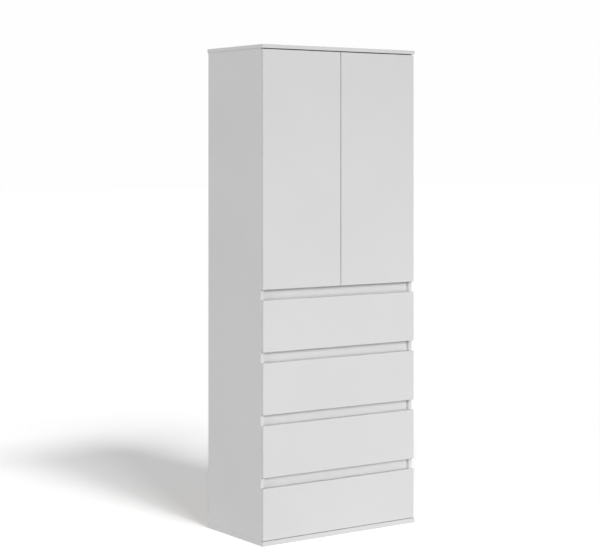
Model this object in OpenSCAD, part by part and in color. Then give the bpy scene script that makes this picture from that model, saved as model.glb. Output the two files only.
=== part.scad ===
// Wardrobe with two hinged doors above four wide drawers, in millimetres.
// The front faces -Y, +Z is up, and the origin is on the floor in the middle of the base.

/* [Body] */
// Width over the top board and the base board
width = 800; // [740:10:900]
// Depth over the top board and the base board
depth = 432; // [428:2:500]
// Height from the floor to the top
height = 2069; // [2000:1:2150]
// Height of the seam between the drawer half and the door half
seam_z = 1049; // [1047:1:1060]
// Thickness of the top, the sides, doors, rails, shelf and drawer fronts
board = 16; // [16:1:18]
// Thickness of the base board
base_t = 20; // [18:1:22]
// How far the top and base boards stand out past the sides
overhang = 3; // [2:0.5:5]
// How far they stand out past the fronts and past the rear edges of the sides
end_overhang = 2; // [1:0.5:5]
// Thickness of the two back panels
back_t = 3; // [3:0.5:5]
// Bevel along every board edge
bevel = 0.6; // [0.3:0.1:1]

/* [Doors] */
// Gap between the two doors
door_gap = 3; // [2:0.5:4]
// Gap above the doors
top_gap = 4; // [3:0.5:5]
// Height of the lower edge of the doors above the seam
door_rise = 7.5; // [2:0.5:10]
// Gap behind the closed fronts
front_gap = 1; // [1:0.5:2]
// How far the fronts stop short of the outer faces of the sides
front_inset = 1.5; // [1.5:0.5:3]
// Height of the hat shelf above the bottom board of the door half
shelf_rise = 735; // [600:5:760]

/* [Drawers] */
// Height of one drawer front
drawer_front_h = 214; // [205:1:214]
// Height of the finger gap above a drawer front
finger_gap = 44.5; // [36:0.5:44.5]
// Gap below the lowest drawer front
base_gap = 2.5; // [2:0.5:4]
// How deep the rails lie behind the front edges of the sides
rail_setback = 15; // [12:1:24]
// Height of a drawer box side
box_h = 170; // [120:5:170]
// Thickness of a drawer box side and back
box_board = 12; // [12:1:15]
// Length of the drawer boxes and of their runners
runner_length = 350; // [300:50:350]

/* [Clothes rail] */
// Height of the oval clothes rail's section
oval_h = 30; // [25:1:30]
// Width of the oval clothes rail's section
oval_w = 15; // [12:1:15]
// Wall of the clothes rail
oval_wall = 1.2; // [0.8:0.1:1.5]

/* [Hidden] */
$fn = 48;
DRAWERS = [1, 2, 3, 4];

// Colours, as the photograph shows them
WHITE = [0.93, 0.93, 0.93];
HARDBOARD = [0.86, 0.85, 0.82];
STEEL = [0.72, 0.73, 0.74];
BEECH = [0.80, 0.66, 0.47];

// Planes of the carcass
side_x = width / 2 - overhang;
inner_x = side_x - board;
front_y = -depth / 2 + end_overhang;
door_back_y = front_y + board;
side_front_y = door_back_y + front_gap;
side_back_y = depth / 2 - end_overhang;
inner_back_y = side_back_y - back_t;
side_mid_x = side_x - board / 2;
top_z = height - board;
door_low_z = seam_z + door_rise;
door_top_z = top_z - top_gap;
front_half_w = side_x - front_inset;
rail_y = side_front_y + rail_setback;
floor_top_z = seam_z + board;
shelf_z = floor_top_z + shelf_rise;
rebate_w = board / 2;

// The drawers stand in a column, with drawer 1 at the top
drawer_pitch = drawer_front_h + finger_gap;
lowest_front_z = base_t + base_gap;
box_back_y = door_back_y + runner_length;
box_rise = 16;
rail_lap = 10;
bottom_t = 3;
bottom_rise = 10;
groove_depth = 5;
groove_play = 0.2;

// Fittings that hold the boards together
cam_r = 7.4;
cam_depth = 12.5;
cam_back = 34;
bolt_r = 3;
bolt_thread_r = 2.4;
bolt_thread_l = 11;
bore_play = 0.05;
cam_y = [side_front_y + 110, side_back_y - 110];
dowel_y = [side_front_y + 60, side_back_y - 60];
floor_cam_y = [side_front_y + 135, side_back_y - 135];
floor_dowel_y = [side_front_y + 85, side_back_y - 85];
dowel_r = 4;

// Row of holes for the shelf pins
pin_r = 2.45;
peg_r = 3.5;
pin_depth = 8.5;
pin_pitch = 32;
pin_y = [side_front_y + 37, side_back_y - 37];
pin_z = shelf_z - peg_r;

// Drawer runners: three nested channels in the gap beside the drawer box
runner_t = 12.7;
runner_half_h = 22.5;
runner_sheet = 1.2;
runner_rise = 60;
runner_front_y = side_front_y + 3;
box_x = inner_x - runner_t;

// Cup hinges, seen from above: u runs inward from the outer face of the side,
// and v runs forward from the back of the closed door
hinge_z = [door_low_z + 100, (door_low_z + door_top_z) / 2, door_top_z - 100];
arm_pivot = [33, -6];
arm_tip_pivot = [33.4, 6.1];
cup_edge_pivot = [front_inset + 10.3, 2.1];
cup_inner_pivot = [front_inset + 14.4, 4.95];
outer_link_bend = [19.3, 7.8];
inner_link_bend = [27.2, 8.2];
link_half_w = 2;
hinge_pin_r = 1;
inner_pin_r = 0.9;
open_eye_r = 3.15;
cup_r = 17.5;
cup_wall = 1;
cup_inset = 3;
cup_depth = 11.5;
cup_floor = 0.8;
cup_flange_t = 0.6;
cup_u = front_inset + cup_inset + cup_r;
// Half heights of the layers in a hinge, from the arm outward to the ears of the cup
web_layer = 2.2;
inner_link_layer = [2.5, 3.8];
outer_link_layer = [4.2, 5.8];
ear_layer = [6.1, 7.3];

// Brackets that tie the wardrobe to a wall
wall_hole_x = 300;
wall_hole_z = top_z - 24;
wall_hole_r = 2.75;

function drawer_z(i) = lowest_front_z + (len(DRAWERS) - i) * drawer_pitch;
function sign_of(side) = side == "left" ? -1 : 1;

// Shapes that several pieces share

module bevelled_square(w, h, cut) {
    polygon([
        [cut, 0], [w - cut, 0], [w, cut], [w, h - cut],
        [w - cut, h], [cut, h], [0, h - cut], [0, cut]
    ]);
}

// A board from its low corner to its high corner, with a bevel along each edge
module panel(low, high, cut = bevel) {
    size = high - low;
    translate(low)
        intersection() {
            linear_extrude(size.z) bevelled_square(size.x, size.y, cut);
            translate([0, size.y, 0])
                rotate([90, 0, 0])
                    linear_extrude(size.y) bevelled_square(size.x, size.z, cut);
            rotate([90, 0, 90])
                linear_extrude(size.x) bevelled_square(size.y, size.z, cut);
        }
}

// A plain block from its low corner to its high corner
module block(low, high) {
    translate(low) cube(high - low);
}

module both_sides() {
    for (flip = [0, 1])
        mirror([flip, 0, 0]) children();
}

// A flat strip along a path of points, with round ends and round corners
module strip(points, half_w) {
    for (p = points)
        translate(p) circle(half_w);
    for (i = [1 : len(points) - 1]) {
        step = points[i] - points[i - 1];
        translate(points[i - 1])
            rotate(atan2(step.y, step.x))
                translate([0, -half_w]) square([norm(step), 2 * half_w]);
    }
}

// Draws its children's outline twice, above and below the middle of a hinge
module in_layer(layer) {
    for (flip = [0, 1])
        mirror([0, 0, flip])
            translate([0, 0, layer[0]]) linear_extrude(layer[1] - layer[0]) children();
}

module upright_pin(place, r, half_h) {
    translate([place.x, place.y, -half_h]) cylinder(r = r, h = 2 * half_h);
}

// Connecting fittings. In their own frame the joint is at z = 0, the board that
// holds the cam is above it, and the cam shows on that board's +x face.

module cam(grow = 0) {
    translate([board / 2 + grow, 0, cam_back])
        rotate([0, -90, 0]) cylinder(r = cam_r + grow, h = cam_depth + 2 * grow);
}

module cam_with_slots() {
    slot_half = 4;
    driver_depth = 1.5;
    difference() {
        cam();
        block([-cam_depth, -slot_half, cam_back - 2 * cam_r], [slot_half, slot_half, cam_back + slot_half]);
        for (turn = [0, 90])
            translate([board / 2, 0, cam_back])
                rotate([turn, 0, 0]) cube([2 * driver_depth, 1.4, 7], center = true);
    }
}

module cam_bolt(play = 0) {
    cylinder(r = bolt_r + 8 * play, h = cam_back + 2);
    translate([0, 0, -bolt_thread_l - 4 * play])
        cylinder(r = bolt_thread_r + play, h = bolt_thread_l + 4 * play + 0.01);
}

module dowel(back, ahead, play = 0) {
    translate([0, 0, -back - 10 * play])
        cylinder(r = dowel_r + play, h = back + ahead + 20 * play);
}

// Places a fitting at each end joint of the side boards
module at_side_ends(joint, places) {
    joint_z = joint == "top" ? top_z : joint == "seam" ? seam_z : base_t;
    both_sides()
        for (y = places)
            translate([-side_mid_x, y, joint_z])
                mirror([0, 0, joint == "base" ? 0 : 1]) children();
}

// Places a fitting at both ends of front rail i
module at_rail_ends(i, rise) {
    both_sides()
        translate([-inner_x, rail_y + board / 2, rail_mid_z(i) + rise])
            rotate([90, 0, 90]) children();
}

// Places a fitting at both ends of the bottom board of the door half
module at_floor_ends(places) {
    both_sides()
        for (y = places)
            translate([-inner_x, y, seam_z + board / 2])
                rotate([0, 90, 0]) children();
}

function rail_low_z(i) = drawer_z(i) + drawer_front_h - rail_lap;
function rail_high_z(i) = i == 1 ? seam_z : drawer_z(i - 1) + rail_lap;
function rail_mid_z(i) = (rail_low_z(i) + rail_high_z(i)) / 2;
rail_cam_rise = 12;
rail_dowel_rise = -14;
side_dowel = [12, 18];
cross_dowel = [10, 20];

module side_end_bores(joint) {
    at_side_ends(joint, cam_y) cam(0.1);
    at_side_ends(joint, cam_y) cam_bolt(bore_play);
    at_side_ends(joint, dowel_y) dowel(side_dowel[0], side_dowel[1], bore_play);
}

module rail_bores(i) {
    at_rail_ends(i, rail_cam_rise) cam(0.1);
    at_rail_ends(i, rail_cam_rise) cam_bolt(bore_play);
    at_rail_ends(i, rail_dowel_rise) dowel(cross_dowel[0], cross_dowel[1], bore_play);
}

module floor_bores() {
    at_floor_ends(floor_cam_y) cam(0.1);
    at_floor_ends(floor_cam_y) cam_bolt(bore_play);
    at_floor_ends(floor_dowel_y) dowel(cross_dowel[0], cross_dowel[1], bore_play);
}

// Boards of the carcass

module top_board() {
    color(WHITE)
        difference() {
            panel([-width / 2, -depth / 2, top_z], [width / 2, depth / 2, height]);
            side_end_bores("top");
        }
}

module base_board() {
    color(WHITE)
        difference() {
            panel([-width / 2, -depth / 2, 0], [width / 2, depth / 2, base_t]);
            side_end_bores("base");
        }
}

// A side with the rebate that its back panel lies in
module side_panel(side, low_z, high_z) {
    s = sign_of(side);
    difference() {
        panel(
            [s < 0 ? -side_x : inner_x, side_front_y, low_z],
            [s < 0 ? -inner_x : side_x, side_back_y, high_z]
        );
        both_sides()
            block([-inner_x - rebate_w, inner_back_y, low_z - 1], [1 - inner_x, side_back_y + 1, high_z + 1]);
    }
}

module shelf_pin_holes(side) {
    for (y = pin_y, row = [-1 : 1])
        translate([sign_of(side) * inner_x, y, pin_z + row * pin_pitch])
            rotate([0, 90, 0]) cylinder(r = pin_r + bore_play, h = 2 * pin_depth + 1, center = true);
}

module upper_side(side) {
    color(WHITE)
        difference() {
            side_panel(side, seam_z, top_z);
            side_end_bores("top");
            side_end_bores("seam");
            floor_bores();
            shelf_pin_holes(side);
        }
}

module lower_side(side) {
    color(WHITE)
        difference() {
            side_panel(side, base_t, seam_z);
            side_end_bores("seam");
            side_end_bores("base");
            for (i = DRAWERS)
                rail_bores(i);
        }
}

module upper_floor() {
    color(WHITE)
        difference() {
            panel([-inner_x, rail_y, seam_z], [inner_x, inner_back_y, floor_top_z]);
            floor_bores();
        }
}

module back_panel(low_z, high_z) {
    end_play = 0.5;
    half_w = inner_x + rebate_w - 0.2;
    block([-half_w, inner_back_y, low_z + end_play], [half_w, side_back_y, high_z - end_play]);
}

module upper_back() {
    color(HARDBOARD)
        difference() {
            back_panel(seam_z, top_z);
            wall_holes();
        }
}

module lower_back() {
    color(HARDBOARD) back_panel(base_t, seam_z);
}

module front_rail(i) {
    color(WHITE)
        difference() {
            panel([-inner_x, rail_y, rail_low_z(i)], [inner_x, rail_y + board, rail_high_z(i)]);
            rail_bores(i);
        }
}

// Shelf and clothes rail

module hat_shelf() {
    end_play = 1;
    front_setback = 16;
    color(WHITE)
        panel(
            [-inner_x + end_play, side_front_y + front_setback, shelf_z],
            [inner_x - end_play, inner_back_y - end_play, shelf_z + board]
        );
}

module shelf_pins() {
    collar_r = 5;
    collar_t = 0.8;
    peg_l = 8;
    color(STEEL)
        both_sides()
            for (y = pin_y)
                translate([-inner_x, y, pin_z])
                    rotate([0, 90, 0]) {
                        translate([0, 0, -pin_depth]) cylinder(r = pin_r, h = pin_depth);
                        difference() {
                            cylinder(r = collar_r, h = collar_t);
                            translate([-2 * collar_r, -collar_r, -1]) cube([2 * collar_r - peg_r, 2 * collar_r, 3]);
                        }
                        cylinder(r = peg_r, h = peg_l);
                    }
}

// The oval section, upright, with its middle at the origin
module oval(grow) {
    half_straight = (oval_h - oval_w) / 2;
    strip([[0, -half_straight], [0, half_straight]], oval_w / 2 + grow);
}

bracket_y = [side_front_y + 68, side_back_y - 31];
bracket_l = 12;
bracket_flange_t = 2.5;
rail_drop = 45;

module clothes_rail() {
    run_past = 6;
    rail_start_y = bracket_y[0] - run_past;
    rail_end_y = bracket_y[1] + bracket_l + run_past;
    color(STEEL)
        translate([0, rail_end_y, shelf_z - rail_drop])
            rotate([90, 0, 0])
                linear_extrude(rail_end_y - rail_start_y)
                    difference() {
                        oval(0);
                        oval(-oval_wall);
                    }
}

module rail_brackets() {
    ring_wall = 2.6;
    flange_half_w = 22;
    stem_half_w = 4;
    screw_r = 2;
    screw_x = 15;
    color(STEEL)
        for (y = bracket_y)
            difference() {
                translate([0, y + bracket_l, shelf_z])
                    rotate([90, 0, 0])
                        linear_extrude(bracket_l)
                            difference() {
                                union() {
                                    translate([0, -rail_drop]) oval(ring_wall);
                                    translate([-stem_half_w, -rail_drop]) square([2 * stem_half_w, rail_drop - 1]);
                                    translate([-flange_half_w, -bracket_flange_t])
                                        square([2 * flange_half_w, bracket_flange_t]);
                                }
                                translate([0, -rail_drop]) oval(0.1);
                            }
                for (s = [-1, 1])
                    translate([s * screw_x, y + bracket_l / 2, shelf_z - 2 * bracket_flange_t])
                        cylinder(r = screw_r, h = 4 * bracket_flange_t);
            }
}

// Wall brackets

module wall_holes() {
    for (s = [-1, 1])
        translate([s * wall_hole_x, inner_back_y, wall_hole_z])
            rotate([90, 0, 0]) cylinder(r = wall_hole_r, h = 30, center = true);
}

module wall_brackets() {
    half_w = 15;
    leg = 40;
    sheet = 2.5;
    screw_r = 2.25;
    color(STEEL)
        difference() {
            for (s = [-1, 1])
                translate([s * wall_hole_x - half_w, 0, 0])
                    union() {
                        block([0, inner_back_y - sheet, top_z - leg], [2 * half_w, inner_back_y, top_z]);
                        block([0, inner_back_y - leg, top_z - sheet], [2 * half_w, inner_back_y, top_z]);
                    }
            wall_holes();
            for (s = [-1, 1])
                translate([s * wall_hole_x, inner_back_y - leg / 2 - 6, top_z - 2 * sheet])
                    cylinder(r = screw_r, h = 4 * sheet);
        }
}

// Fittings, as groups of separate solids

module cam_locks() {
    color(STEEL) {
        for (joint = ["top", "seam", "base"])
            at_side_ends(joint, cam_y) cam_with_slots();
        at_floor_ends(floor_cam_y) cam_with_slots();
        for (i = DRAWERS)
            at_rail_ends(i, rail_cam_rise) cam_with_slots();
    }
}

module cam_bolts() {
    color(STEEL) {
        for (joint = ["top", "seam", "base"])
            at_side_ends(joint, cam_y) cam_bolt();
        at_floor_ends(floor_cam_y) cam_bolt();
        for (i = DRAWERS)
            at_rail_ends(i, rail_cam_rise) cam_bolt();
    }
}

module dowels() {
    color(BEECH) {
        for (joint = ["top", "seam", "base"])
            at_side_ends(joint, dowel_y) dowel(side_dowel[0], side_dowel[1]);
        at_floor_ends(floor_dowel_y) dowel(cross_dowel[0], cross_dowel[1]);
        for (i = DRAWERS)
            at_rail_ends(i, rail_dowel_rise) dowel(cross_dowel[0], cross_dowel[1]);
    }
}

// Doors and their cup hinges

// Draws its children at the three hinges of one door, in the hinge's own u, v frame
module at_hinges(side) {
    mirror([side == "left" ? 0 : 1, 0, 0])
        for (z = hinge_z)
            translate([-side_x, door_back_y, z])
                mirror([0, 1, 0]) children();
}

module door(side) {
    s = sign_of(side);
    cup_bore_play = 0.1;
    color(WHITE)
        difference() {
            panel(
                [s < 0 ? -front_half_w : door_gap / 2, front_y, door_low_z],
                [s < 0 ? -door_gap / 2 : front_half_w, door_back_y, door_top_z]
            );
            at_hinges(side)
                translate([cup_u, -1, 0])
                    rotate([-90, 0, 0])
                        cylinder(r = cup_r + cup_bore_play, h = 1 + cup_depth + cup_floor + cup_bore_play);
        }
}

module cup_flange() {
    wing_u = 6;
    wing_z = 24;
    wing_r = 6;
    screw_r = 2.2;
    rotate([-90, 0, 0])
        translate([0, 0, -cup_flange_t])
            linear_extrude(cup_flange_t)
                difference() {
                    union() {
                        circle(cup_r + 1.5);
                        strip([[wing_u, -wing_z], [wing_u, wing_z]], wing_r);
                    }
                    circle(cup_r - cup_wall);
                    for (s = [-1, 1])
                        translate([wing_u, s * wing_z]) circle(screw_r);
                }
}

module hinge_cup() {
    translate([cup_u, 0, 0]) {
        difference() {
            translate([0, -cup_flange_t, 0])
                rotate([-90, 0, 0]) cylinder(r = cup_r, h = cup_flange_t + cup_depth + cup_floor);
            translate([0, -2 * cup_flange_t, 0])
                rotate([-90, 0, 0]) cylinder(r = cup_r - cup_wall, h = 2 * cup_flange_t + cup_depth);
        }
        cup_flange();
    }
    // Two ears with stub pins hold the outer links
    floor_v = cup_depth + cup_floor - link_half_w;
    in_layer(ear_layer) strip([cup_edge_pivot, [cup_edge_pivot.x, floor_v]], link_half_w);
    in_layer([outer_link_layer[0], ear_layer[1]]) translate(cup_edge_pivot) circle(hinge_pin_r);
    // One lug in the middle holds the inner links
    in_layer([0, web_layer]) strip([cup_inner_pivot, [cup_inner_pivot.x, floor_v]], link_half_w);
    upright_pin(cup_inner_pivot, inner_pin_r, inner_link_layer[1]);
}

module hinge_cups(side) {
    color(STEEL) at_hinges(side) hinge_cup();
}

module outer_link() {
    in_layer(outer_link_layer)
        difference() {
            strip([arm_pivot, outer_link_bend, cup_edge_pivot], link_half_w);
            translate(arm_pivot) circle(hinge_pin_r + bore_play);
            translate(cup_edge_pivot) circle(hinge_pin_r + bore_play);
        }
}

module outer_links(side) {
    color(STEEL) at_hinges(side) outer_link();
}

// The wide eye leaves the pin of the cup the room that a second true pivot would take
module inner_link() {
    eye_wall = 1;
    in_layer(inner_link_layer)
        difference() {
            union() {
                strip([arm_tip_pivot, inner_link_bend, cup_inner_pivot], link_half_w);
                translate(cup_inner_pivot) circle(open_eye_r + eye_wall);
            }
            translate(arm_tip_pivot) circle(hinge_pin_r + bore_play);
            translate(cup_inner_pivot) circle(open_eye_r);
        }
}

module inner_links(side) {
    color(STEEL) at_hinges(side) inner_link();
}

arm_bar_u = board + 7.5;
arm_bar_t = 4;
arm_back_v = -64;
arm_half_h = 6;

module hinge_arm() {
    bar_front_v = -18;
    screw_boss_r = 3.5;
    in_layer([0, web_layer])
        strip([[arm_bar_u + arm_bar_t / 2, bar_front_v - 4], arm_pivot, arm_tip_pivot], link_half_w);
    in_layer([0, arm_half_h])
        translate([arm_bar_u, arm_back_v]) square([arm_bar_t, bar_front_v - arm_back_v]);
    for (v = [-52, -28])
        translate([arm_bar_u, v, 0])
            rotate([0, 90, 0]) cylinder(r = screw_boss_r, h = arm_bar_t + 1.5);
    upright_pin(arm_pivot, hinge_pin_r, outer_link_layer[1]);
    upright_pin(arm_tip_pivot, hinge_pin_r, inner_link_layer[1]);
}

module hinge_arms() {
    color(STEEL)
        for (side = ["left", "right"])
            at_hinges(side) hinge_arm();
}

module hinge_plate() {
    plate_v = -39;
    wing_half_v = 7;
    wing_half_h = 24;
    wing_t = 2.5;
    screw_z = 16;
    difference() {
        union() {
            block([board, plate_v - wing_half_v, -wing_half_h], [board + wing_t, plate_v + wing_half_v, wing_half_h]);
            block([board, arm_back_v + 4, -arm_half_h + 0.5], [arm_bar_u, -22, arm_half_h - 0.5]);
        }
        for (s = [-1, 1])
            translate([board - 1, plate_v, s * screw_z])
                rotate([0, 90, 0]) cylinder(r = 2.6, h = wing_t + 2);
    }
}

module hinge_plates() {
    color(STEEL)
        for (side = ["left", "right"])
            at_hinges(side) hinge_plate();
}

// Drawers and their runners

// A channel of bent sheet between two planes, open on the side of the second plane
module channel(web_x, lip_x, half_h) {
    t = lip_x > web_x ? runner_sheet : -runner_sheet;
    polygon([
        [web_x, -half_h], [lip_x, -half_h], [lip_x, runner_sheet - half_h], [web_x + t, runner_sheet - half_h],
        [web_x + t, half_h - runner_sheet], [lip_x, half_h - runner_sheet], [lip_x, half_h], [web_x, half_h]
    ]);
}

// One member of the runner beside drawer i, on both sides
module runner_member(i, web_x, lip_x, half_h) {
    both_sides()
        translate([-inner_x, runner_front_y + runner_length, drawer_z(i) + runner_rise])
            rotate([90, 0, 0])
                linear_extrude(runner_length) channel(web_x, lip_x, half_h);
}

module runner_outer_rails() {
    color(STEEL)
        for (i = DRAWERS)
            runner_member(i, 0, 10, runner_half_h);
}

module drawer_middle_rails(i) {
    color(STEEL) runner_member(i, 2, 9.8, runner_half_h - 2.4);
}

module drawer_inner_rails(i) {
    color(STEEL) runner_member(i, runner_t, 5, runner_half_h - 5.8);
}

function box_z(i) = drawer_z(i) + box_rise;

// The hardboard bottom, and with some play the groove that it slides into
module bottom_sheet(i, play = 0) {
    reach = groove_depth + play;
    inner = box_x - box_board;
    low_z = box_z(i) + bottom_rise;
    block(
        [-inner - reach, door_back_y - reach, low_z - play],
        [inner + reach, box_back_y - box_board + reach, low_z + bottom_t + play]
    );
}

module drawer_front(i) {
    color(WHITE)
        difference() {
            panel(
                [-front_half_w, front_y, drawer_z(i)],
                [front_half_w, door_back_y, drawer_z(i) + drawer_front_h]
            );
            bottom_sheet(i, groove_play);
        }
}

module drawer_side(i, side) {
    s = sign_of(side);
    color(WHITE)
        difference() {
            panel(
                [s < 0 ? -box_x : box_x - box_board, door_back_y, box_z(i)],
                [s < 0 ? box_board - box_x : box_x, box_back_y, box_z(i) + box_h]
            );
            bottom_sheet(i, groove_play);
        }
}

module drawer_back(i) {
    drop = 15;
    color(WHITE)
        difference() {
            panel(
                [box_board - box_x, box_back_y - box_board, box_z(i)],
                [box_x - box_board, box_back_y, box_z(i) + box_h - drop]
            );
            bottom_sheet(i, groove_play);
        }
}

module drawer_bottom(i) {
    color(HARDBOARD) bottom_sheet(i);
}

top_board();
base_board();
upper_side("left");  // upper_side_left
upper_side("right");  // upper_side_right
lower_side("left");  // lower_side_left
lower_side("right");  // lower_side_right
upper_floor();
upper_back();
lower_back();
hat_shelf();
shelf_pins();
clothes_rail();
rail_brackets();
wall_brackets();
cam_locks();
cam_bolts();
dowels();
hinge_plates();
hinge_arms();
runner_outer_rails();
for (side = ["left", "right"]) {
    door(side);
    hinge_cups(side);
    outer_links(side);
    inner_links(side);
}
for (i = DRAWERS) {
    front_rail(i);
    drawer_front(i);
    drawer_side(i, "left");
    drawer_side(i, "right");
    drawer_back(i);
    drawer_bottom(i);
    drawer_inner_rails(i);
    drawer_middle_rails(i);
}
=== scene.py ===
"""Dresses the white two-door, four-drawer wardrobe and sets it in a plain studio.

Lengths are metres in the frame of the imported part: the fronts face -Y and +Z is up.
"""

import logging
import math
from collections.abc import Iterable
from dataclasses import dataclass
from enum import Enum

import bmesh
import bpy
from mathutils import Matrix, Vector


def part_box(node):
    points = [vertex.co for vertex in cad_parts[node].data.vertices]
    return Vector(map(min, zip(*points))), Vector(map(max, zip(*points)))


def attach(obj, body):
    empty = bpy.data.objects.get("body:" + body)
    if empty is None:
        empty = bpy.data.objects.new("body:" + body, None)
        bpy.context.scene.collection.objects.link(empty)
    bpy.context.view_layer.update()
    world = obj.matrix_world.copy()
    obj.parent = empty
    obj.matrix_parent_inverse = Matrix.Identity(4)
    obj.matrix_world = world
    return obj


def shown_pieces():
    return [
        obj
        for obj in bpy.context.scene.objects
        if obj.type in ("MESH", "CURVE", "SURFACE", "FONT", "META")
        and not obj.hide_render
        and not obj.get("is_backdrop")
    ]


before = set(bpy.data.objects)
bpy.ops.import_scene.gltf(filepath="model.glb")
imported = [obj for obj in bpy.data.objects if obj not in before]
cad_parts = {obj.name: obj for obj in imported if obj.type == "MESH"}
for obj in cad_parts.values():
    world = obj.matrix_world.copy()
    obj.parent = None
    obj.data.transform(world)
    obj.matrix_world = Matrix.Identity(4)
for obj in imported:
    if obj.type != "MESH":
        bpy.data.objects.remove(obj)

log = logging.getLogger("wardrobe")

Colour = tuple[float, float, float, float]
Span = tuple[float, float]
MM = 0.001


# Named choices

class Side(Enum):
    """The two sides of the wardrobe, as someone in front of it sees them."""

    LEFT = "left"
    RIGHT = "right"

    @property
    def sign(self) -> int:
        """The side's sign along X."""
        return -1 if self is Side.LEFT else 1

    def outer(self, low: Vector, high: Vector) -> float:
        """Gives the end of a box along X that is the outer one on this side."""
        return low.x if self is Side.LEFT else high.x


class Half(Enum):
    """The two halves of the carcass: behind the doors, and round the drawers."""

    UPPER = "upper"
    LOWER = "lower"


class Grain(Enum):
    """How streaks run, as a share of their fineness along X, Y and Z: the smaller, the longer."""

    ALONG_DEPTH = (1.0, 0.02, 1.0)
    ALONG_HEIGHT = (1.0, 1.0, 0.02)
    ALONG_DOWELS = (0.1, 1.0, 0.1)

    def shares(self) -> dict[str, float]:
        """Gives the shares as values for the inputs of the streaks."""
        return {f"Along_{axis}": share for axis, share in zip("XYZ", self.value)}


class PaintedFace(Enum):
    """The painted face of a hardboard panel, as the axis and the way that it looks."""

    FRONT = ("Y", -1.0)
    TOP = ("Z", 1.0)


# Colours and shader nodes

def grey(value: float, warmth: float = 0.0) -> Colour:
    """Makes a nearly neutral linear colour, whose red gains and whose blue loses the warmth."""
    return (value + warmth, value, value - warmth, 1.0)


def scaled(colour: Colour, share: float) -> Colour:
    """Multiplies a colour's channels by a share, up to 1 at most."""
    red, green, blue = (min(1.0, share * channel) for channel in colour[:3])
    return (red, green, blue, 1.0)


class Graph:
    """Makes and links the nodes of one shader tree."""

    def __init__(self, tree: bpy.types.NodeTree) -> None:
        """Starts on the tree that the nodes go into."""
        self.tree = tree

    def add(self, kind: str, values: dict[str, object] | None = None, **settings: object) -> bpy.types.Node:
        """Adds one node.

        Args:
            kind: The node's Blender type.
            values: Input values or source sockets by input name.
            settings: Node properties to set first.

        Returns:
            The new node.
        """
        node = self.tree.nodes.new(kind)
        for name, value in settings.items():
            setattr(node, name, value)
        for name, value in (values or {}).items():
            self.feed(node.inputs[name], value)
        return node

    def feed(self, socket: bpy.types.NodeSocket, value: object) -> None:
        """Gives a socket a value, or links it to a source.

        Args:
            socket: The input socket.
            value: A plain value, or the output socket that feeds it.
        """
        if isinstance(value, bpy.types.NodeSocket):
            self.tree.links.new(value, socket)
        else:
            socket.default_value = value

    def math(self, operation: str, first: object, second: object) -> bpy.types.NodeSocket:
        """Adds a Math node of two inputs.

        Args:
            operation: Blender's name of the operation.
            first: The first value or source.
            second: The second value or source.

        Returns:
            The node's output.
        """
        node = self.add("ShaderNodeMath", operation=operation)
        self.feed(node.inputs[0], first)
        self.feed(node.inputs[1], second)
        return node.outputs[0]

    def vector_math(self, operation: str, first: object, second: object) -> bpy.types.NodeOutputs:
        """Adds a Vector Math node of two inputs.

        Args:
            operation: Blender's name of the operation.
            first: The first vector or source.
            second: The second vector or source.

        Returns:
            The node's outputs, Vector and Value.
        """
        node = self.add("ShaderNodeVectorMath", operation=operation)
        self.feed(node.inputs[0], first)
        self.feed(node.inputs[1], second)
        return node.outputs

    def noise(self, place: bpy.types.NodeSocket, scale: object, detail: float,
              **more: float) -> bpy.types.NodeSocket:
        """Adds a Noise Texture node, with values for its other inputs, and gives the noise."""
        values = {"Vector": place, "Scale": scale, "Detail": detail}
        return self.add("ShaderNodeTexNoise", {**values, **more}).outputs[0]

    def ramp(self, value: object, span: tuple[object, object],
             result: Span = (0.0, 1.0)) -> bpy.types.NodeSocket:
        """Maps a range onto another, with smooth ends.

        Args:
            value: The value to map.
            span: The range's two ends.
            result: What the ends become.

        Returns:
            The mapped value.
        """
        ends = {"From Min": span[0], "From Max": span[1], "To Min": result[0], "To Max": result[1]}
        node = self.add("ShaderNodeMapRange", {"Value": value, **ends}, interpolation_type="SMOOTHSTEP")
        return node.outputs["Result"]

    def mix(self, factor: object, first: object, second: object) -> bpy.types.NodeSocket:
        """Mixes two colours.

        Args:
            factor: The second colour's share.
            first: The first colour or source.
            second: The second colour or source.

        Returns:
            The mixed colour.
        """
        node = self.add("ShaderNodeMix", data_type="RGBA")
        factor_input, first_colour, second_colour, colour_output = 0, 6, 7, 2
        self.feed(node.inputs[factor_input], factor)
        self.feed(node.inputs[first_colour], first)
        self.feed(node.inputs[second_colour], second)
        return node.outputs[colour_output]


# Effects that several finishes share

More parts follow.
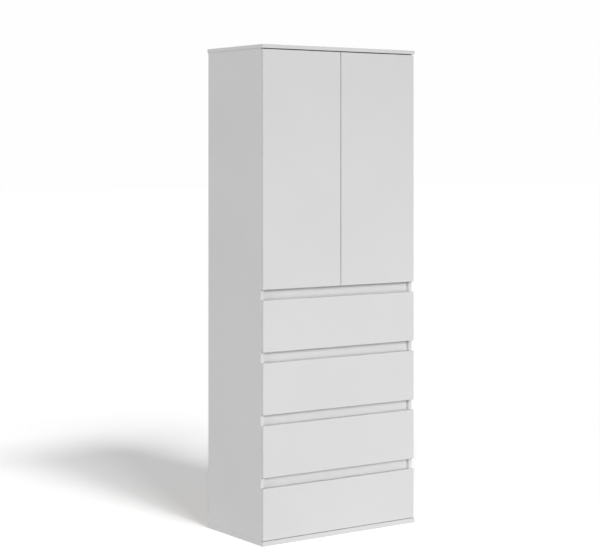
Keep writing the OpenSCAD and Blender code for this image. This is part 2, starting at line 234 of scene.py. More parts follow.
class EffectGroup:
    """A shader node group that several finishes share, built on first use."""

    name: str
    inputs: dict[str, float]
    outputs: tuple[str, ...]

    @classmethod
    def tree(cls) -> bpy.types.NodeTree:
        """Finds the group's tree, or builds it.

        Returns:
            The node group.
        """
        found = bpy.data.node_groups.get(cls.name)
        if found:
            return found
        tree = bpy.data.node_groups.new(cls.name, "ShaderNodeTree")
        for label, default in cls.inputs.items():
            socket = tree.interface.new_socket(label, in_out="INPUT", socket_type="NodeSocketFloat")
            socket.default_value = default
        for label in cls.outputs:
            tree.interface.new_socket(label, in_out="OUTPUT", socket_type="NodeSocketFloat")
        graph = Graph(tree)
        given = tree.nodes.new("NodeGroupInput").outputs
        results = cls.build(graph, given)
        end = tree.nodes.new("NodeGroupOutput")
        for label, socket in results.items():
            tree.links.new(socket, end.inputs[label])
        return tree

    @classmethod
    def build(cls, graph: Graph, given: bpy.types.NodeOutputs) -> dict[str, bpy.types.NodeSocket]:
        """Builds the inside of the group from its inputs, and gives the socket for each output."""
        raise NotImplementedError

    @classmethod
    def place(cls, graph: Graph, **values: float) -> bpy.types.NodeOutputs:
        """Puts the group in a material's tree.

        Args:
            graph: The material's tree.
            values: Values for the group's inputs, with _ for each space.

        Returns:
            The group's outputs.
        """
        node = graph.tree.nodes.new("ShaderNodeGroup")
        node.node_tree = cls.tree()
        for label, value in values.items():
            node.inputs[label.replace("_", " ")].default_value = value
        return node.outputs


class RubbedEdges(EffectGroup):
    """Marks the arrises of a piece, where hands and time wear it."""

    name = "rubbed edges"
    inputs = {"Radius": 1.5 * MM, "Low": 0.02, "High": 0.25}
    outputs = ("Mask",)
    bevel_samples: int = 4
    patch_scale: float = 60.0
    patch_detail: float = 3.0
    patch_span: Span = (0.35, 0.65)
    patch_wear: Span = (0.35, 1.0)

    @classmethod
    def build(cls, graph: Graph, given: bpy.types.NodeOutputs) -> dict[str, bpy.types.NodeSocket]:
        """Compares the rounded normal with the true one, and breaks the result up by noise.

        Args:
            graph: The group's tree.
            given: The rounding's radius, and the bends at which wear starts and is full.

        Returns:
            The mask.
        """
        rounded = graph.add("ShaderNodeBevel", {"Radius": given["Radius"]}, samples=cls.bevel_samples)
        true_normal = graph.add("ShaderNodeNewGeometry").outputs["Normal"]
        agree = graph.vector_math("DOT_PRODUCT", rounded.outputs[0], true_normal)["Value"]
        bend = graph.math("SUBTRACT", 1.0, agree)
        arris = graph.ramp(bend, (given["Low"], given["High"]))
        place = graph.add("ShaderNodeTexCoord").outputs["Object"]
        patches = graph.noise(place, cls.patch_scale, cls.patch_detail)
        return {"Mask": graph.math("MULTIPLY", arris, graph.ramp(patches, cls.patch_span, cls.patch_wear))}


class Pebble(EffectGroup):
    """The fine pearl of a pressed melamine or foil surface."""

    name = "pressed pebble"
    inputs = {"Scale": 900.0}
    outputs = ("Height", "Tone")
    detail: float = 2.0

    @classmethod
    def build(cls, graph: Graph, given: bpy.types.NodeOutputs) -> dict[str, bpy.types.NodeSocket]:
        """Adds a fine noise to a cell pattern of the same size.

        Args:
            graph: The group's tree.
            given: The pattern's scale.

        Returns:
            The height and the tone.
        """
        place = graph.add("ShaderNodeTexCoord").outputs["Object"]
        size = given["Scale"]
        soft = graph.noise(place, size, cls.detail)
        cells = graph.add("ShaderNodeTexVoronoi", {"Vector": place, "Scale": size}, feature="SMOOTH_F1")
        return {"Height": graph.math("ADD", soft, cells.outputs["Distance"]), "Tone": soft}


class WideDrift(EffectGroup):
    """A slow change of tone across a board, with finer clouds in it."""

    name = "wide drift"
    inputs = {"Scale": 2.0}
    outputs = ("Tone",)
    detail: float = 4.0
    span: Span = (0.3, 0.7)

    @classmethod
    def build(cls, graph: Graph, given: bpy.types.NodeOutputs) -> dict[str, bpy.types.NodeSocket]:
        """Makes one noise with a little detail, at the given scale."""
        place = graph.add("ShaderNodeTexCoord").outputs["Object"]
        return {"Tone": graph.ramp(graph.noise(place, given["Scale"], cls.detail), cls.span)}


class SettledDust(EffectGroup):
    """A thin film of dust on faces that look up."""

    name = "settled dust"
    inputs = {"Amount": 0.3}
    outputs = ("Mask",)
    upward_span: Span = (0.8, 0.98)
    cloud_scale: float = 9.0
    cloud_detail: float = 5.0
    cloud_span: Span = (0.3, 0.75)

    @classmethod
    def build(cls, graph: Graph, given: bpy.types.NodeOutputs) -> dict[str, bpy.types.NodeSocket]:
        """Keeps the faces that look up and breaks the film up with clouds.

        Args:
            graph: The group's tree.
            given: The amount of dust.

        Returns:
            The mask.
        """
        coords = graph.add("ShaderNodeTexCoord").outputs
        normal = graph.add("ShaderNodeSeparateXYZ", {"Vector": coords["Normal"]}).outputs
        upward = graph.ramp(normal["Z"], cls.upward_span)
        clouds = graph.noise(coords["Object"], cls.cloud_scale, cls.cloud_detail)
        film = graph.math("MULTIPLY", upward, graph.ramp(clouds, cls.cloud_span))
        return {"Mask": graph.math("MULTIPLY", film, given["Amount"])}


class Streaks(EffectGroup):
    """Long fine marks of rolled or drawn metal, or of wood fibre."""

    name = "drawn streaks"
    inputs = {"Scale": 700.0, "Along X": 1.0, "Along Y": 1.0, "Along Z": 1.0}
    outputs = ("Height", "Tone")
    detail: float = 3.0
    cloud_scale: float = 45.0
    cloud_span: Span = (0.25, 0.75)
    cloud_strength: Span = (0.6, 1.0)

    @classmethod
    def build(cls, graph: Graph, given: bpy.types.NodeOutputs) -> dict[str, bpy.types.NodeSocket]:
        """Stretches a noise and lays soft clouds over it.

        Args:
            graph: The group's tree.
            given: The noise's scale, and its share of that along each axis.

        Returns:
            The height and the tone.
        """
        place = graph.add("ShaderNodeTexCoord").outputs["Object"]
        stretch = graph.add("ShaderNodeCombineXYZ", {axis: given[f"Along {axis}"] for axis in "XYZ"})
        drawn = graph.vector_math("MULTIPLY", place, stretch.outputs[0])["Vector"]
        fine = graph.noise(drawn, given["Scale"], cls.detail)
        clouds = graph.noise(place, cls.cloud_scale, cls.detail)
        tone = graph.math("MULTIPLY", fine, graph.ramp(clouds, cls.cloud_span, cls.cloud_strength))
        return {"Height": fine, "Tone": tone}


# Finishes

class Finish:
    """A finish builds its material once and hands it out after that."""

    name: str

    def material(self) -> bpy.types.Material:
        """Finds or builds the material.

        Returns:
            The material.
        """
        found = bpy.data.materials.get(self.name)
        if found:
            return found
        made = bpy.data.materials.new(self.name)
        made.use_nodes = True
        made.node_tree.nodes.clear()
        graph = Graph(made.node_tree)
        shader = graph.add("ShaderNodeBsdfPrincipled")
        end = graph.add("ShaderNodeOutputMaterial")
        graph.feed(end.inputs["Surface"], shader.outputs[0])
        self.shade(graph, shader)
        return made

    def shade(self, graph: Graph, shader: bpy.types.Node) -> None:
        """Sets and links the sockets of the material's Principled shader."""
        raise NotImplementedError

    @staticmethod
    def bump(graph: Graph, shader: bpy.types.Node, height: bpy.types.NodeSocket, depth: float) -> None:
        """Feeds the shader's normal from a height, with a depth in metres."""
        node = graph.add("ShaderNodeBump", {"Strength": 1.0, "Distance": depth, "Height": height})
        graph.feed(shader.inputs["Normal"], node.outputs[0])


@dataclass(frozen=True)
class Laminate(Finish):
    """Matt melamine or foil on board, with rubbed edges and a little dust."""

    name: str
    colour: Colour
    drift_scale: float = 2.2
    drift_dark: float = 0.975
    edge_radius: float = 1.2 * MM
    edge_dark: float = 0.93
    edge_wear: float = 0.6
    dust: float = 0.12
    dust_colour: Colour = grey(0.42, 0.02)
    dust_roughness: float = 0.6
    roughness: float = 0.48
    roughness_drift: float = 0.05
    specular: float = 0.4
    pebble_scale: float = 900.0
    pebble_span: Span = (0.3, 0.7)
    pebble_depth: float = 0.02 * MM

    def shade(self, graph: Graph, shader: bpy.types.Node) -> None:
        """Drifts the white a little, greys its edges and films its top faces.

        Args:
            graph: The material's tree.
            shader: Its Principled shader.
        """
        drift = WideDrift.place(graph, Scale=self.drift_scale)["Tone"]
        pebble = Pebble.place(graph, Scale=self.pebble_scale)
        edges = RubbedEdges.place(graph, Radius=self.edge_radius)["Mask"]
        dust = SettledDust.place(graph, Amount=self.dust)["Mask"]
        tone = graph.mix(drift, scaled(self.colour, self.drift_dark), self.colour)
        worn = graph.math("MULTIPLY", edges, self.edge_wear)
        tone = graph.mix(worn, tone, scaled(self.colour, self.edge_dark))
        tone = graph.mix(dust, tone, self.dust_colour)
        graph.feed(shader.inputs["Base Color"], tone)
        ends = (self.roughness - self.roughness_drift, self.roughness + self.roughness_drift)
        gloss = graph.ramp(pebble["Tone"], self.pebble_span, ends)
        dulled = graph.math("ADD", gloss, graph.math("MULTIPLY", dust, self.dust_roughness))
        graph.feed(shader.inputs["Roughness"], dulled)
        shader.inputs["Specular IOR Level"].default_value = self.specular
        self.bump(graph, shader, pebble["Height"], self.pebble_depth)


@dataclass(frozen=True)
class Hardboard(Finish):
    """Thin hardboard, brown and fibrous, with white paint on one face."""

    name: str
    painted: PaintedFace
    paint: Colour = grey(0.68, 0.01)
    paint_dark: float = 0.95
    paint_span: Span = (0.4, 0.6)
    fibre_light: Colour = (0.34, 0.21, 0.12, 1.0)
    fibre_dark: Colour = (0.20, 0.115, 0.06, 1.0)
    fleck_scale: float = 420.0
    fleck_detail: float = 6.0
    fleck_roughness: float = 0.7
    fleck_distortion: float = 1.2
    fleck_span: Span = (0.35, 0.68)
    fleck_depth: float = 0.03 * MM
    drift_scale: float = 5.0
    drift_share: float = 0.35
    fibre_roughness: float = 0.72
    paint_roughness: float = 0.5
    specular: float = 0.35

    def shade(self, graph: Graph, shader: bpy.types.Node) -> None:
        """Picks paint or fibre by the way a face looks.

        Args:
            graph: The material's tree.
            shader: Its Principled shader.
        """
        axis, sign = self.painted.value
        coords = graph.add("ShaderNodeTexCoord").outputs
        normal = graph.add("ShaderNodeSeparateXYZ", {"Vector": coords["Normal"]}).outputs
        painted = graph.ramp(graph.math("MULTIPLY", normal[axis], sign), self.paint_span)
        flecks = graph.noise(coords["Object"], self.fleck_scale, self.fleck_detail,
                             Roughness=self.fleck_roughness, Distortion=self.fleck_distortion)
        drift = WideDrift.place(graph, Scale=self.drift_scale)["Tone"]
        fibre = graph.mix(graph.ramp(flecks, self.fleck_span), self.fibre_dark, self.fibre_light)
        fibre = graph.mix(graph.math("MULTIPLY", drift, self.drift_share), fibre, self.fibre_light)
        paint = graph.mix(drift, scaled(self.paint, self.paint_dark), self.paint)
        graph.feed(shader.inputs["Base Color"], graph.mix(painted, fibre, paint))
        roughness = graph.ramp(painted, (0.0, 1.0), (self.fibre_roughness, self.paint_roughness))
        graph.feed(shader.inputs["Roughness"], roughness)
        shader.inputs["Specular IOR Level"].default_value = self.specular
        self.bump(graph, shader, flecks, self.fleck_depth)


@dataclass(frozen=True)
class PlatedSteel(Finish):
    """Pressed or rolled steel under a thin plating."""

    name: str
    colour: Colour
    grain: Grain
    roughness: float
    dull_gain: float = 0.12
    gloss_gain: float = 0.04
    streak_dark: float = 0.78
    streak_span: Span = (0.2, 0.6)
    gloss_span: Span = (0.15, 0.65)
    streak_depth: float = 0.006 * MM
    edge_radius: float = 0.4 * MM
    edge_bright: float = 1.12

    def shade(self, graph: Graph, shader: bpy.types.Node) -> None:
        """Streaks the tone and gloss along the metal's grain and brightens its edges.

        Args:
            graph: The material's tree.
            shader: Its Principled shader.
        """
        streaks = Streaks.place(graph, **self.grain.shares())
        edges = RubbedEdges.place(graph, Radius=self.edge_radius)["Mask"]
        shine = graph.ramp(streaks["Tone"], self.streak_span)
        tone = graph.mix(shine, scaled(self.colour, self.streak_dark), self.colour)
        graph.feed(shader.inputs["Base Color"], graph.mix(edges, tone, scaled(self.colour, self.edge_bright)))
        ends = (self.roughness + self.dull_gain, self.roughness - self.gloss_gain)
        graph.feed(shader.inputs["Roughness"], graph.ramp(streaks["Tone"], self.gloss_span, ends))
        shader.inputs["Metallic"].default_value = 1.0
        self.bump(graph, shader, streaks["Height"], self.streak_depth)


@dataclass(frozen=True)
class Beech(Finish):
    """Bare beech with short dark rays."""

    name: str = "beech"
    light: Colour = (0.56, 0.38, 0.21, 1.0)
    dark: Colour = (0.38, 0.22, 0.11, 1.0)
    grain: Grain = Grain.ALONG_DOWELS
    streak_scale: float = 900.0
    streak_span: Span = (0.25, 0.6)
    streak_depth: float = 0.05 * MM
    gloss_span: Span = (0.2, 0.7)
    roughness: Span = (0.7, 0.55)

    def shade(self, graph: Graph, shader: bpy.types.Node) -> None:
        """Stretches a fine noise along the dowels.

        Args:
            graph: The material's tree.
            shader: Its Principled shader.
        """
        streaks = Streaks.place(graph, Scale=self.streak_scale, **self.grain.shares())
        tone = graph.mix(graph.ramp(streaks["Tone"], self.streak_span), self.dark, self.light)
        graph.feed(shader.inputs["Base Color"], tone)
        graph.feed(shader.inputs["Roughness"], graph.ramp(streaks["Tone"], self.gloss_span, self.roughness))
        self.bump(graph, shader, streaks["Height"], self.streak_depth)


@dataclass(frozen=True)
class ClearRubber(Finish):
    """The milky rubber of small stick-on bumpers."""

    name: str = "bumper rubber"
    colour: Colour = (0.62, 0.63, 0.62, 1.0)
    cloud_scale: float = 160.0
    cloud_dark: float = 0.85
    roughness: Span = (0.25, 0.4)
    transmission: float = 0.35
    refraction: float = 1.41

    def shade(self, graph: Graph, shader: bpy.types.Node) -> None:
        """Clouds the rubber a little.

        Args:
            graph: The material's tree.
            shader: Its Principled shader.
        """
        clouds = WideDrift.place(graph, Scale=self.cloud_scale)["Tone"]
        tone = graph.mix(clouds, scaled(self.colour, self.cloud_dark), self.colour)
        graph.feed(shader.inputs["Base Color"], tone)
        graph.feed(shader.inputs["Roughness"], graph.ramp(clouds, (0.0, 1.0), self.roughness))
        shader.inputs["Transmission Weight"].default_value = self.transmission
        shader.inputs["IOR"].default_value = self.refraction


WHITE = Laminate("white laminate", grey(0.74))
DRAWER_FOIL = Laminate("drawer foil", grey(0.70, 0.004), roughness=0.40, pebble_scale=1400.0, dust=0.06)
BACK_BOARD = Hardboard("back hardboard", PaintedFace.FRONT)
DRAWER_BOTTOM = Hardboard("drawer hardboard", PaintedFace.TOP)
NICKEL = PlatedSteel("nickel plating", (0.62, 0.60, 0.57, 1.0), Grain.ALONG_DEPTH, roughness=0.24)
ZINC = PlatedSteel("zinc plating", (0.56, 0.58, 0.60, 1.0), Grain.ALONG_DEPTH, roughness=0.32)
CAST_ZINC = PlatedSteel("cast zinc", (0.50, 0.50, 0.50, 1.0), Grain.ALONG_HEIGHT, roughness=0.42)
BEECH = Beech()
RUBBER = ClearRubber()


def dress(names: Iterable[str], finish: Finish) -> None:
    """Gives CAD nodes a finish.

    Args:
        names: The nodes' names.
        finish: The finish for all of them.
    """
    material = finish.material()
    for name in names:
        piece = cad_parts[name]
        if not piece.material_slots:
            piece.data.materials.append(material)
        for place in piece.material_slots:
            place.material = material


# Small pieces

REAR = Vector((0.0, 1.0, 0.0))
DOWN = Vector((0.0, 0.0, -1.0))
SHARP_BEND = math.radians(35.0)


def box(node: str) -> tuple[Vector, Vector]:
    """Gives a CAD node's low and high corners."""
    low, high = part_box(node)
    return Vector(low), Vector(high)


@dataclass(frozen=True)
class Seat:
    """Where a small piece sits, and the way its top faces."""

    place: Vector
    facing: Vector

    def matrix(self) -> Matrix:
        """Gives the matrix that carries a piece from the origin to the seat."""
        turn = self.facing.to_track_quat("Z", "Y").to_matrix().to_4x4()
        return Matrix.Translation(self.place) @ turn


def lathe(profile: list[Span], segments: int) -> bmesh.types.BMesh:
    """Turns a profile about the Z axis into a closed solid.

    Args:
        profile: Radius and height pairs from the axis at the bottom to the axis at the top.
        segments: The number of flats around.

    Returns:
        The solid's mesh.
    """
    made = bmesh.new()
    rings = []
    for radius, height in profile:
        if radius == 0.0:
            rings.append([made.verts.new((0.0, 0.0, height))])
            continue
        turns = (math.tau * k / segments for k in range(segments))
        rings.append([made.verts.new((radius * math.cos(a), radius * math.sin(a), height)) for a in turns])
    for below, above in zip(rings, rings[1:]):
        for k in range(segments):
            n = (k + 1) % segments
            if len(below) == 1:
                made.faces.new((below[0], above[n], above[k]))
            elif len(above) == 1:
                made.faces.new((below[k], below[n], above[0]))
            else:
                made.faces.new((below[k], below[n], above[n], above[k]))
    made.normal_update()
    return made


@dataclass(frozen=True)
class CrossHead:
    """A domed screw head with a cross recess. Its shares are of the radius or the height."""

    radius: float
    height: float
    sink: float = 0.3 * MM
    segments: int = 24
    foot_share: float = 0.97
    dome_shares: tuple[Span, ...] = ((1.0, 0.12), (0.9, 0.5), (0.66, 0.82), (0.36, 0.97))
    cross_reach_share: float = 0.56
    cross_half_share: float = 0.13
    cross_floor_share: float = 0.35
    cross_top_share: float = 1.3
    cross_taper: Span = (0.6, 1.15)

    def mesh(self) -> bpy.types.Mesh:
        """Builds the head, its underside a little below z = 0.

        Returns:
            The head's mesh.
        """
        dome = [(width * self.radius, rise * self.height) for width, rise in self.dome_shares]
        foot = [(0.0, -self.sink), (self.foot_share * self.radius, -self.sink)]
        head = self._object("head", lathe([*foot, *dome, (0.0, self.height)], self.segments))
        cutter = self._object("cutter", self._cross())
        cut = head.modifiers.new("cross", "BOOLEAN")
        cut.operation = "DIFFERENCE"
        cut.object = cutter
        depsgraph = bpy.context.evaluated_depsgraph_get()
        mesh = bpy.data.meshes.new_from_object(head.evaluated_get(depsgraph))
        bpy.data.objects.remove(head)
        bpy.data.objects.remove(cutter)
        return mesh

    @staticmethod
    def _object(name: str, made: bmesh.types.BMesh) -> bpy.types.Object:
        """Makes a working object, which the caller removes.

        Args:
            name: The object's name.
            made: Its mesh, which is used up.

        Returns:
            The object.
        """
        mesh = bpy.data.meshes.new(name)
        made.to_mesh(mesh)
        made.free()
        work = bpy.data.objects.new(name, mesh)
        bpy.context.scene.collection.objects.link(work)
        return work

    def _cross(self) -> bmesh.types.BMesh:
        """Builds the tapered cross that cuts the recess.

        Returns:
            The cross's mesh.
        """
        made = bmesh.new()
        arm, half = self.cross_reach_share * self.radius, self.cross_half_share * self.radius
        floor, top = self.cross_floor_share * self.height, self.cross_top_share * self.height
        outline = [(arm, -half), (arm, half), (half, half), (half, arm), (-half, arm), (-half, half),
                   (-arm, half), (-arm, -half), (-half, -half), (-half, -arm), (half, -arm), (half, -half)]
        narrow, wide = self.cross_taper
        low = [made.verts.new((narrow * x, narrow * y, floor)) for x, y in outline]
        high = [made.verts.new((wide * x, wide * y, top)) for x, y in outline]
        made.faces.new(list(reversed(low)))
        made.faces.new(high)
        for k in range(len(outline)):
            n = (k + 1) % len(outline)
            made.faces.new((low[k], low[n], high[n], high[k]))
        return made


@dataclass(frozen=True)
class Button:
    """A plain round head or pad with a soft rim, given as shares of the radius and the height."""

    radius: float
    height: float
    segments: int = 20
    rim_shares: tuple[Span, ...] = ((1.0, 0.0), (1.0, 0.55), (0.93, 0.85), (0.8, 1.0))

    def mesh(self) -> bpy.types.Mesh:
        """Builds the button, standing on z = 0.

        Returns:
            The button's mesh.
        """
        rim = [(width * self.radius, rise * self.height) for width, rise in self.rim_shares]
        made = lathe([(0.0, 0.0), *rim, (0.0, self.height)], self.segments)
        mesh = bpy.data.meshes.new("button")
        made.to_mesh(mesh)
        made.free()
        return mesh


def set_group(name: str, kind: CrossHead | Button, seats: list[Seat], body: str, finish: Finish) -> None:
    """Sets copies of a small piece on their seats as one object.

    Args:
        name: The object's name.
        kind: The small piece.
        seats: Where the copies go.
        body: The CAD body that carries them.
        finish: Their finish.
    """
    single = kind.mesh()
    made = bmesh.new()
    for seat in seats:
        start = len(made.verts)
        made.from_mesh(single)
        made.verts.ensure_lookup_table()
        bmesh.ops.transform(made, matrix=seat.matrix(), verts=made.verts[start:])
    mesh = bpy.data.meshes.new(name)
    made.to_mesh(mesh)
    made.free()
    bpy.data.meshes.remove(single)
    mesh.materials.append(finish.material())
    mesh.shade_smooth()
    mesh.set_sharp_from_angle(angle=SHARP_BEND)
    piece = bpy.data.objects.new(name, mesh)
    bpy.context.scene.collection.objects.link(piece)
    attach(piece, body)
    log.info("%s: %d pieces on %s", name, len(seats), body)


# The wardrobe

@dataclass
class Carcass:
    """The boards and fittings that stand still, with their nails and screws."""

    drawers: int = 4
    nail: Button = Button(3.0 * MM, 0.6 * MM, segments=12)
    nail_pitch: float = 95 * MM
    nail_inset: float = 4 * MM
    floor_row: float = 8 * MM
    screw: CrossHead = CrossHead(3.6 * MM, 1.8 * MM)
    bracket_sheet: float = 2.5 * MM
    wall_bracket_half: float = 15 * MM
    wall_screw_row: float = 26 * MM
    rail_screw_row: float = 6 * MM
    rail_screw_spread: float = 15 * MM

    def build(self) -> None:
        """Dresses the boards and fittings and sets the nails and screws."""
        boards = ["top_board", "base_board", "upper_floor", "hat_shelf"]
        boards += [f"{half.value}_side_{side.value}" for half in Half for side in Side]
        boards += [f"front_rail_{k + 1}" for k in range(self.drawers)]
        dress(boards, WHITE)
        panels = [f"{half.value}_back" for half in Half]
        dress(panels, BACK_BOARD)
        dress(["shelf_pins", "clothes_rail", "rail_brackets", "wall_brackets"], NICKEL)
        dress(["hinge_plates", "hinge_arms"], NICKEL)
        dress(["cam_locks", "cam_bolts"], CAST_ZINC)
        dress(["dowels"], BEECH)
        dress(["runner_outer_rails"], ZINC)
        for half in Half:
            self._nail_back(half)
        self._nail_floor()
        self._wall_bracket_screws()
        self._rail_bracket_screws()
        log.info("carcass: %d boards dressed", len(boards) + len(panels))

    def _nail_back(self, half: Half) -> None:
        """Sets a row of nails along both upright edges of one back panel.

        Args:
            half: The half of the carcass.
        """
        low, high = box(f"{half.value}_back")
        rise = round((high.z - low.z) / self.nail_pitch)
        heights = [low.z + (high.z - low.z) * (k + 0.5) / rise for k in range(rise)]
        edges = (low.x + self.nail_inset, high.x - self.nail_inset)
        seats = [Seat(Vector((x, high.y, z)), REAR) for x in edges for z in heights]
        set_group(f"{half.value}_back_nails", self.nail, seats, "carcass", ZINC)

    def _nail_floor(self) -> None:
        """Sets a row of nails through the upper back into the door half's bottom board."""
        low, high = box("upper_back")
        count = round((high.x - low.x) / self.nail_pitch)
        places = [low.x + (high.x - low.x) * k / count for k in range(1, count)]
        seats = [Seat(Vector((x, high.y, low.z + self.floor_row)), REAR) for x in places]
        set_group("floor_nails", self.nail, seats, "carcass", ZINC)

    def _wall_bracket_screws(self) -> None:
        """Sets the screws that hold the wall brackets under the top board."""
        low, high = box("wall_brackets")
        y, z = high.y - self.wall_screw_row, high.z - self.bracket_sheet
        places = (low.x + self.wall_bracket_half, high.x - self.wall_bracket_half)
        seats = [Seat(Vector((x, y, z)), DOWN) for x in places]
        set_group("wall_bracket_screws", self.screw, seats, "carcass", NICKEL)

    def _rail_bracket_screws(self) -> None:
        """Sets the screws that hold the clothes rail's brackets under the shelf."""
        low, high = box("rail_brackets")
        z = high.z - self.bracket_sheet
        rows = (low.y + self.rail_screw_row, high.y - self.rail_screw_row)
        places = (-self.rail_screw_spread, self.rail_screw_spread)
        seats = [Seat(Vector((x, y, z)), DOWN) for y in rows for x in places]
        set_group("rail_bracket_screws", self.screw, seats, "carcass", NICKEL)


@dataclass
class Door:
    """One door with its cup hinges, screws and bumpers."""

    side: Side
    screw: CrossHead = CrossHead(3.4 * MM, 1.6 * MM)
    bumper: Button = Button(4.0 * MM, 0.8 * MM)
    cup_centre: float = 20.5 * MM
    wing: float = 6 * MM
    wing_rise: float = 24 * MM
    wing_radius: float = 6 * MM
    flange: float = 0.6 * MM
    plate_row: float = 17 * MM
    plate_sheet: float = 2.5 * MM
    plate_spread: float = 16 * MM
    bumper_inset: float = 30 * MM

    def build(self) -> None:
        """Dresses the door and its hinges and sets the small pieces."""
        name = self.side.value
        dress([f"{name}_door"], WHITE)
        dress([f"{name}_hinge_cups", f"{name}_outer_links", f"{name}_inner_links"], NICKEL)
        self._cup_screws()
        self._plate_screws()
        self._bumpers()
        log.info("%s door: dressed", name)

    def _hinge_heights(self) -> list[float]:
        """Works out the hinges' heights from the cups' box.

        Returns:
            The three heights, from the lowest.
        """
        low, high = box(f"{self.side.value}_hinge_cups")
        reach = self.wing_rise + self.wing_radius
        bottom, top = low.z + reach, high.z - reach
        return [bottom, (bottom + top) / 2, top]

    def _screw_heights(self, spread: float) -> list[float]:
        """Gives a height below and one above each hinge's middle."""
        return [height + s * spread for height in self._hinge_heights() for s in (-1, 1)]

    def _cup_screws(self) -> None:
        """Sets two screws through each cup's flange."""
        name = self.side.value
        low, high = box(f"{name}_door")
        x = self.side.outer(low, high) - self.side.sign * (self.cup_centre + self.wing)
        y = high.y + self.flange
        seats = [Seat(Vector((x, y, z)), REAR) for z in self._screw_heights(self.wing_rise)]
        set_group(f"{name}_cup_screws", self.screw, seats, f"{name}_door", NICKEL)

    def _plate_screws(self) -> None:
        """Sets two screws through each mounting plate on the side board."""
        name = f"{self.side.value}_plate_screws"
        low, high = box("hinge_plates")
        inward = Vector((-self.side.sign, 0.0, 0.0))
        x = self.side.outer(low, high) + inward.x * self.plate_sheet
        y = low.y + self.plate_row
        seats = [Seat(Vector((x, y, z)), inward) for z in self._screw_heights(self.plate_spread)]
        set_group(name, self.screw, seats, "carcass", NICKEL)

    def _bumpers(self) -> None:
        """Sets bumpers behind the door's outer corners, where they meet the side board's edge."""
        name = self.side.value
        low, high = box(f"{name}_door")
        side_low, side_high = box(f"upper_side_{name}")
        x = (side_low.x + side_high.x) / 2
        heights = (low.z + self.bumper_inset, high.z - self.bumper_inset)
        seats = [Seat(Vector((x, high.y, z)), REAR) for z in heights]
        set_group(f"{name}_door_bumpers", self.bumper, seats, f"{name}_door", RUBBER)


@dataclass
class Drawer:
    """One drawer: front, box, runner channels, screws and bumpers."""

    number: int
    screw: CrossHead = CrossHead(3.4 * MM, 0.9 * MM)
    screw_rises: tuple[float, ...] = (14 * MM, 140 * MM)
    bumper: Button = Button(4.0 * MM, 0.8 * MM)
    bumper_drop: float = 14 * MM

    @property
    def name(self) -> str:
        """The start of the names of the drawer's nodes, which is also its body."""
        return f"drawer_{self.number}"

    def build(self) -> None:
        """Dresses the drawer and sets the small pieces."""
        dress([f"{self.name}_front"], WHITE)
        dress([f"{self.name}_left_side", f"{self.name}_right_side", f"{self.name}_back"], DRAWER_FOIL)
        dress([f"{self.name}_bottom"], DRAWER_BOTTOM)
        dress([f"{self.name}_inner_rails", f"{self.name}_middle_rails"], ZINC)
        self._bumpers()
        self._corner_screws()
        log.info("%s: dressed", self.name)

    def _bumpers(self) -> None:
        """Sets bumpers behind the front's upper corners, where it meets the sides."""
        high = box(f"{self.name}_front")[1]
        z = high.z - self.bumper_drop
        seats = []
        for side in Side:
            side_low, side_high = box(f"lower_side_{side.value}")
            seats.append(Seat(Vector(((side_low.x + side_high.x) / 2, high.y, z)), REAR))
        set_group(f"{self.name}_bumpers", self.bumper, seats, self.name, RUBBER)

    def _corner_screws(self) -> None:
        """Sets the screws that join the box's back to its sides."""
        back_low, back_high = box(f"{self.name}_back")
        y = (back_low.y + back_high.y) / 2
        seats = []
        for side in Side:
            low, high = box(f"{self.name}_{side.value}_side")
            x = side.outer(low, high)
            facing = Vector((side.sign, 0.0, 0.0))
            seats += [Seat(Vector((x, y, low.z + rise)), facing) for rise in self.screw_rises]
        set_group(f"{self.name}_corner_screws", self.screw, seats, self.name, ZINC)


# The studio

LEVEL_GAZE = math.radians(90.0)


@dataclass(frozen=True)
class FarLamp:
    """A wide, distant lamp, so that every spot gets the same light. Its angles are in degrees."""

    name: str
    turn: float
    rise: float
    spread: float
    level: float

    def add(self, lit: bpy.types.Collection) -> None:
        """Adds the lamp, at a level that shows a white face square to it as that grey.

        Args:
            lit: What the lamp lights.
        """
        data = bpy.data.lights.new(self.name, "SUN")
        data.angle = math.radians(self.spread)
        data.energy = math.pi * self.level
        lamp = bpy.data.objects.new(self.name, data)
        turn, rise = math.radians(self.turn), math.radians(self.rise)
        source = Vector((math.sin(turn) * math.cos(rise), -math.cos(turn) * math.cos(rise), math.sin(rise)))
        lamp.rotation_euler = source.to_track_quat("Z", "Y").to_euler()
        lamp.light_linking.receiver_collection = lit
        bpy.context.scene.collection.objects.link(lamp)


@dataclass(frozen=True)
class PanelLamp:
    """A rectangular lamp near the furniture, out of the camera's sight."""

    name: str
    place: Vector
    target: Vector
    width: float
    height: float
    watts: float

    def add(self, lit: bpy.types.Collection) -> None:
        """Adds the lamp, turned to its target.

        Args:
            lit: What the lamp lights.
        """
        data = bpy.data.lights.new(self.name, "AREA")
        data.shape = "RECTANGLE"
        data.size, data.size_y = self.width, self.height
        data.energy = self.watts
        lamp = bpy.data.objects.new(self.name, data)
        lamp.location = self.place
        lamp.rotation_euler = (self.place - self.target).to_track_quat("Z", "Y").to_euler()
        lamp.visible_camera = False
        lamp.light_linking.receiver_collection = lit
        bpy.context.scene.collection.objects.link(lamp)


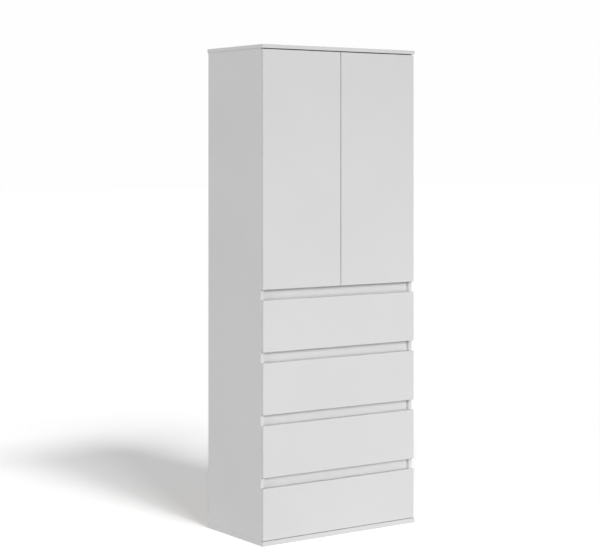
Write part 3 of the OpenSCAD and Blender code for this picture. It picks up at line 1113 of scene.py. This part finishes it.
@dataclass
class Studio:
    """The pale floor, the soft lights and the camera.

    As in the photograph, the floor's soft shadow comes from high lamps in front. Lamps
    round the furniture even out its own faces, and a weak low one lifts its lower fronts.
    """

    camera_place: Vector = Vector((-4.178, -5.901, 1.618))
    camera_yaw: float = math.radians(-34.89)
    camera_sight: float = 200.0
    lens: float = 108.65
    sensor: Span = (22.0, 36.0)
    shift_y: float = -0.2209
    floor_reach: float = 60.0
    floor_seen: Colour = grey(0.90)
    floor_bounce: Colour = grey(0.20)
    sky: float = 0.12
    backdrop: float = 0.99
    shadow_lamps: tuple[FarLamp, ...] = (
        FarLamp("shadow_lamp", turn=0.0, rise=44.0, spread=11.0, level=0.515),
        FarLamp("low_shadow_lamp", turn=-12.0, rise=38.0, spread=11.0, level=0.225),
        FarLamp("fill_lamp", turn=-35.3, rise=44.0, spread=7.0, level=0.715),
    )
    body_lamps: tuple[FarLamp, ...] = (
        FarLamp("front_lamp", turn=-2.0, rise=19.0, spread=26.0, level=0.55),
        FarLamp("left_lamp", turn=-75.0, rise=8.0, spread=14.0, level=0.28),
        FarLamp("far_left_lamp", turn=-90.0, rise=15.0, spread=16.0, level=0.22),
        FarLamp("rear_right_lamp", turn=125.0, rise=28.0, spread=20.0, level=0.35),
        FarLamp("top_lamp", turn=20.0, rise=80.0, spread=16.0, level=0.15),
    )
    low_lamp: PanelLamp = PanelLamp(
        "low_lamp",
        place=Vector((0.6, -2.9, 0.35)),
        target=Vector((0.0, 0.0, 0.3)),
        width=2.6,
        height=0.5,
        watts=13.8,
    )

    def build(self) -> None:
        """Sets the floor, the world, the lights and the camera."""
        furniture = bpy.data.collections.new("furniture")
        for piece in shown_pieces():
            furniture.objects.link(piece)
        ground = bpy.data.collections.new("ground")
        ground.objects.link(self._floor())
        for lamp in self.shadow_lamps:
            lamp.add(ground)
        for lamp in (*self.body_lamps, self.low_lamp):
            lamp.add(furniture)
        self._world()
        self._camera()
        log.info("studio: %d lamps", len(self.shadow_lamps) + len(self.body_lamps) + 1)

    def _floor(self) -> bpy.types.Object:
        """Adds the floor, which shows nearly white but throws little light back up.

        Returns:
            The floor.
        """
        reach = self.floor_reach
        mesh = bpy.data.meshes.new("studio_floor")
        corners = [(-reach, -reach, 0.0), (reach, -reach, 0.0), (reach, reach, 0.0), (-reach, reach, 0.0)]
        mesh.from_pydata(corners, [], [(0, 1, 2, 3)])
        material = bpy.data.materials.new("studio floor")
        material.use_nodes = True
        material.node_tree.nodes.clear()
        graph = Graph(material.node_tree)
        shade = graph.add("ShaderNodeBsdfDiffuse")
        graph.feed(shade.inputs["Color"], graph.mix(self._seen(graph), self.floor_bounce, self.floor_seen))
        end = graph.add("ShaderNodeOutputMaterial")
        graph.feed(end.inputs["Surface"], shade.outputs[0])
        mesh.materials.append(material)
        floor = bpy.data.objects.new("studio_floor", mesh)
        bpy.context.scene.collection.objects.link(floor)
        floor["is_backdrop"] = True
        return floor

    @staticmethod
    def _seen(graph: Graph) -> bpy.types.NodeSocket:
        """Tells rays that show the studio from rays that only light things.

        Args:
            graph: The tree that asks.

        Returns:
            1 for rays that show it, and otherwise 0.
        """
        path = graph.add("ShaderNodeLightPath").outputs
        mirrored = graph.math("MAXIMUM", path["Is Glossy Ray"], path["Is Transmission Ray"])
        return graph.math("MAXIMUM", path["Is Camera Ray"], mirrored)

    def _world(self) -> None:
        """Lights the room softly and shows it white."""
        world = bpy.data.worlds.new("studio")
        world.use_nodes = True
        world.node_tree.nodes.clear()
        graph = Graph(world.node_tree)
        lift = graph.math("MULTIPLY", self._seen(graph), self.backdrop - self.sky)
        strength = graph.math("ADD", lift, self.sky)
        shade = graph.add("ShaderNodeBackground", {"Color": grey(1.0), "Strength": strength})
        end = graph.add("ShaderNodeOutputWorld")
        graph.feed(end.inputs["Surface"], shade.outputs[0])
        bpy.context.scene.world = world

    def _camera(self) -> None:
        """Adds the camera at the photograph's viewing angle."""
        data = bpy.data.cameras.new("camera")
        data.lens = self.lens
        data.sensor_fit = "VERTICAL"
        data.sensor_width, data.sensor_height = self.sensor
        data.shift_y = self.shift_y
        data.clip_end = self.camera_sight
        camera = bpy.data.objects.new("camera", data)
        camera.location = self.camera_place
        camera.rotation_euler = (LEVEL_GAZE, 0.0, self.camera_yaw)
        bpy.context.scene.collection.objects.link(camera)
        bpy.context.scene.camera = camera


def main() -> None:
    """Builds every piece in order."""
    logging.basicConfig(level=logging.INFO, format="%(name)s: %(message)s")
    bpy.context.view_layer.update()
    bpy.context.scene.view_settings.view_transform = "Standard"
    carcass = Carcass()
    carcass.build()
    for side in Side:
        Door(side).build()
    for k in range(carcass.drawers):
        Drawer(k + 1).build()
    Studio().build()


if __name__ == "__main__":
    main()
